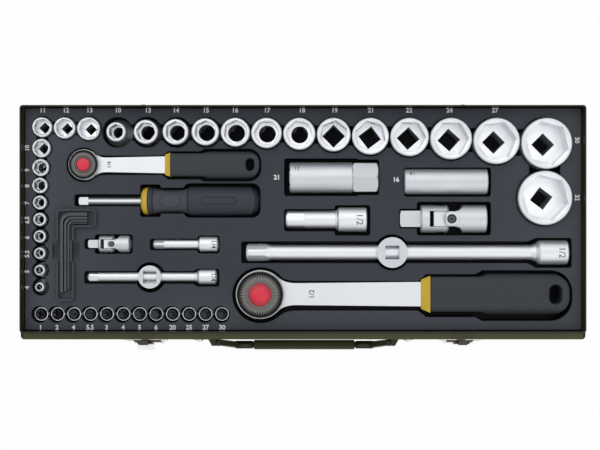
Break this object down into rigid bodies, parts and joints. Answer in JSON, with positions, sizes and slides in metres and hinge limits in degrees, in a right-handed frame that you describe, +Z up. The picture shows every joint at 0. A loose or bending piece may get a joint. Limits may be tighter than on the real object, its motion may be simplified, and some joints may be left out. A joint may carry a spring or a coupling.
{
  "type": "socket wrench set in case",
  "caption": "Socket wrench set in a sheet-steel case: sockets, ratchets, driver, extensions, joints, bits and keys in a moulded tray, with the lid stowed under the base.",
  "frame": {"origin": "on the floor, under the middle of the case's rim", "axes": "+X to the right along the case, +Y from the handle's side to the back, +Z up"},
  "size_m": [0.4444, 0.1972, 0.051],
  "materials": {
    "case_paint": "smooth olive enamel",
    "tray_plastic": "fine moulded grain",
    "chrome": "satin",
    "nickel": "nickel plate",
    "handle_plastic": "smooth moulded",
    "grip_plastic": "fine moulded grain",
    "collar_plastic": "smooth",
    "button_plastic": "smooth",
    "black_ring": "fine knurl"
  },
  "bodies": {
    "lid": {"lid_shell": "case_paint"},
    "base": {"base_shell": "case_paint", "tray": "tray_plastic", "handle_brackets": "case_paint", "latch_plates": "nickel", "latch_springs": "nickel", "case_rivets": "nickel"},
    "handle": {"handle_bail": "case_paint", "handle_grip": "handle_plastic"},
    "left_latch": {"latch_lever_left": "nickel"},
    "right_latch": {"latch_lever_right": "nickel"},
    "half_ratchet": {"half_ratchet_frame": "chrome", "half_ratchet_collar": "collar_plastic", "half_ratchet_grip": "grip_plastic", "half_ratchet_pawl": "chrome"},
    "half_ring": {"half_ratchet_ring": "black_ring"},
    "half_drive": {"half_ratchet_drive": "chrome"},
    "half_button": {"half_ratchet_button": "button_plastic"},
    "quarter_ratchet": {"quarter_ratchet_frame": "chrome", "quarter_ratchet_collar": "collar_plastic", "quarter_ratchet_grip": "grip_plastic", "quarter_ratchet_pawl": "chrome"},
    "quarter_ring": {"quarter_ratchet_ring": "black_ring"},
    "quarter_drive": {"quarter_ratchet_drive": "chrome"},
    "quarter_button": {"quarter_ratchet_button": "button_plastic"},
    "driver": {"driver_blade": "chrome", "driver_collar": "collar_plastic", "driver_handle": "grip_plastic"},
    "half_joint": {"half_joint_fork": "chrome"},
    "half_block": {"half_joint_block": "chrome"},
    "half_yoke": {"half_joint_yoke": "chrome"},
    "quarter_joint": {"quarter_joint_fork": "chrome"},
    "quarter_block": {"quarter_joint_block": "chrome"},
    "quarter_yoke": {"quarter_joint_yoke": "chrome"},
    "long_extension": {"half_extension_long": "chrome"},
    "short_extension": {"half_extension_short": "chrome"},
    "sliding_head": {"half_sliding_head": "chrome"},
    "small_long_extension": {"quarter_extension_long": "chrome"},
    "small_short_extension": {"quarter_extension_short": "chrome"},
    "small_sliding_head": {"quarter_sliding_head": "chrome"},
    "plug_socket": {"plug_socket": "chrome"},
    "slim_plug_socket": {"slim_plug_socket": "chrome"},
    "keys": {"hex_keys": "chrome"},
    "bit_row": {"bit_sockets": "chrome", "bits": "chrome"},
    "small_sockets": {"quarter_sockets": "chrome"},
    "half_socket_10": {"half_socket_10": "chrome"},
    "half_socket_13": {"half_socket_13": "chrome"},
    "half_socket_14": {"half_socket_14": "chrome"},
    "half_socket_15": {"half_socket_15": "chrome"},
    "half_socket_16": {"half_socket_16": "chrome"},
    "half_socket_17": {"half_socket_17": "chrome"},
    "half_socket_18": {"half_socket_18": "chrome"},
    "half_socket_19": {"half_socket_19": "chrome"},
    "half_socket_21": {"half_socket_21": "chrome"},
    "half_socket_22": {"half_socket_22": "chrome"},
    "half_socket_24": {"half_socket_24": "chrome"},
    "half_socket_27": {"half_socket_27": "chrome"},
    "half_socket_30": {"half_socket_30": "chrome"},
    "half_socket_32": {"half_socket_32": "chrome"}
  },
  "joints": [
    {"name": "base_lift", "type": "slide", "parent": "lid", "child": "base", "axis": [0, 0, 1], "range_m": [0, 0.06]},
    {"name": "handle_swing", "type": "hinge", "parent": "base", "child": "handle", "pos_m": [0, -0.0978, 0.03], "axis": [-1, 0, 0], "range_deg": [0, 163]},
    {"name": "left_latch_swing", "type": "hinge", "parent": "base", "child": "left_latch", "pos_m": [-0.125, -0.0978, 0.018], "axis": [1, 0, 0], "range_deg": [0, 38], "stiffness_Nm_per_rad": 0.02, "springref_deg": -8.59},
    {"name": "right_latch_swing", "type": "hinge", "parent": "base", "child": "right_latch", "pos_m": [0.125, -0.0978, 0.018], "axis": [1, 0, 0], "range_deg": [0, 38], "stiffness_Nm_per_rad": 0.02, "springref_deg": -8.59},
    {"name": "half_ratchet_lift", "type": "slide", "parent": "base", "child": "half_ratchet", "axis": [0, 0, 1], "range_m": [0, 0.055]},
    {"name": "half_drive_spin", "type": "hinge", "parent": "half_ratchet", "child": "half_drive", "pos_m": [-0.0335, -0.059, 0.041], "axis": [0, 0, 1], "continuous": true},
    {"name": "half_ring_turn", "type": "hinge", "parent": "half_ratchet", "child": "half_ring", "pos_m": [-0.0335, -0.059, 0.041], "axis": [0, 0, 1], "range_deg": [-12, 12]},
    {"name": "half_button_press", "type": "slide", "parent": "half_drive", "child": "half_button", "axis": [0, 0, -1], "range_m": [0, 0.0025], "stiffness_N_per_m": 300, "springref_m": -0.001},
    {"name": "quarter_ratchet_lift", "type": "slide", "parent": "base", "child": "quarter_ratchet", "axis": [0, 0, 1], "range_m": [0, 0.055]},
    {"name": "quarter_drive_spin", "type": "hinge", "parent": "quarter_ratchet", "child": "quarter_drive", "pos_m": [-0.1715, 0.0426, 0.041], "axis": [0, 0, 1], "continuous": true},
    {"name": "quarter_ring_turn", "type": "hinge", "parent": "quarter_ratchet", "child": "quarter_ring", "pos_m": [-0.1715, 0.0426, 0.041], "axis": [0, 0, 1], "range_deg": [-12, 12]},
    {"name": "quarter_button_press", "type": "slide", "parent": "quarter_drive", "child": "quarter_button", "axis": [0, 0, -1], "range_m": [0, 0.0018], "stiffness_N_per_m": 200, "springref_m": -0.001},
    {"name": "half_joint_lift", "type": "slide", "parent": "base", "child": "half_joint", "axis": [0, 0, 1], "range_m": [0, 0.055]},
    {"name": "half_joint_nod", "type": "hinge", "parent": "half_joint", "child": "half_block", "pos_m": [0.1084, 0.0002, 0.036], "axis": [0, -1, 0], "range_deg": [0, 50]},
    {"name": "half_joint_sway", "type": "hinge", "parent": "half_block", "child": "half_yoke", "pos_m": [0.1161, 0.0002, 0.036], "axis": [0, 0, 1], "range_deg": [-3, 3]},
    {"name": "quarter_joint_lift", "type": "slide", "parent": "base", "child": "quarter_joint", "axis": [0, 0, 1], "range_m": [0, 0.055]},
    {"name": "quarter_joint_nod", "type": "hinge", "parent": "quarter_joint", "child": "quarter_block", "pos_m": [-0.15315, -0.0195, 0.038], "axis": [0, -1, 0], "range_deg": [0, 50]},
    {"name": "quarter_joint_sway", "type": "hinge", "parent": "quarter_block", "child": "quarter_yoke", "pos_m": [-0.1498, -0.0195, 0.038], "axis": [0, 0, 1], "range_deg": [-3, 3]},
    {"name": "long_extension_lift", "type": "slide", "parent": "base", "child": "long_extension", "axis": [0, 0, 1], "range_m": [0, 0.055]},
    {"name": "sliding_head_slide", "type": "slide", "parent": "long_extension", "child": "sliding_head", "axis": [1, 0, 0], "range_m": [-0.0015, 0.0015]},
    {"name": "small_long_extension_lift", "type": "slide", "parent": "base", "child": "small_long_extension", "axis": [0, 0, 1], "range_m": [0, 0.05]},
    {"name": "small_sliding_head_slide", "type": "slide", "parent": "small_long_extension", "child": "small_sliding_head", "axis": [1, 0, 0], "range_m": [-0.0015, 0.0015]},
    {"name": "driver_lift", "type": "slide", "parent": "base", "child": "driver", "axis": [0, 0, 1], "range_m": [0, 0.05]},
    {"name": "short_extension_lift", "type": "slide", "parent": "base", "child": "short_extension", "axis": [0, 0, 1], "range_m": [0, 0.05]},
    {"name": "small_short_extension_lift", "type": "slide", "parent": "base", "child": "small_short_extension", "axis": [0, 0, 1], "range_m": [0, 0.05]},
    {"name": "plug_socket_lift", "type": "slide", "parent": "base", "child": "plug_socket", "axis": [0, 0, 1], "range_m": [0, 0.05]},
    {"name": "slim_plug_socket_lift", "type": "slide", "parent": "base", "child": "slim_plug_socket", "axis": [0, 0, 1], "range_m": [0, 0.05]},
    {"name": "keys_lift", "type": "slide", "parent": "base", "child": "keys", "axis": [0, 0, 1], "range_m": [0, 0.05]},
    {"name": "bit_row_lift", "type": "slide", "parent": "base", "child": "bit_row", "axis": [0, 0, 1], "range_m": [0, 0.05]},
    {"name": "small_sockets_lift", "type": "slide", "parent": "base", "child": "small_sockets", "axis": [0, 0, 1], "range_m": [0, 0.05]},
    {"name": "half_socket_10_lift", "type": "slide", "parent": "base", "child": "half_socket_10", "axis": [0, 0, 1], "range_m": [0, 0.055]},
    {"name": "half_socket_13_lift", "type": "slide", "parent": "base", "child": "half_socket_13", "axis": [0, 0, 1], "range_m": [0, 0.055]},
    {"name": "half_socket_14_lift", "type": "slide", "parent": "base", "child": "half_socket_14", "axis": [0, 0, 1], "range_m": [0, 0.055]},
    {"name": "half_socket_15_lift", "type": "slide", "parent": "base", "child": "half_socket_15", "axis": [0, 0, 1], "range_m": [0, 0.055]},
    {"name": "half_socket_16_lift", "type": "slide", "parent": "base", "child": "half_socket_16", "axis": [0, 0, 1], "range_m": [0, 0.055]},
    {"name": "half_socket_17_lift", "type": "slide", "parent": "base", "child": "half_socket_17", "axis": [0, 0, 1], "range_m": [0, 0.055]},
    {"name": "half_socket_18_lift", "type": "slide", "parent": "base", "child": "half_socket_18", "axis": [0, 0, 1], "range_m": [0, 0.055]},
    {"name": "half_socket_19_lift", "type": "slide", "parent": "base", "child": "half_socket_19", "axis": [0, 0, 1], "range_m": [0, 0.055]},
    {"name": "half_socket_21_lift", "type": "slide", "parent": "base", "child": "half_socket_21", "axis": [0, 0, 1], "range_m": [0, 0.055]},
    {"name": "half_socket_22_lift", "type": "slide", "parent": "base", "child": "half_socket_22", "axis": [0, 0, 1], "range_m": [0, 0.055]},
    {"name": "half_socket_24_lift", "type": "slide", "parent": "base", "child": "half_socket_24", "axis": [0, 0, 1], "range_m": [0, 0.055]},
    {"name": "half_socket_27_lift", "type": "slide", "parent": "base", "child": "half_socket_27", "axis": [0, 0, 1], "range_m": [0, 0.055]},
    {"name": "half_socket_30_lift", "type": "slide", "parent": "base", "child": "half_socket_30", "axis": [0, 0, 1], "range_m": [0, 0.055]},
    {"name": "half_socket_32_lift", "type": "slide", "parent": "base", "child": "half_socket_32", "axis": [0, 0, 1], "range_m": [0, 0.055]}
  ]
}
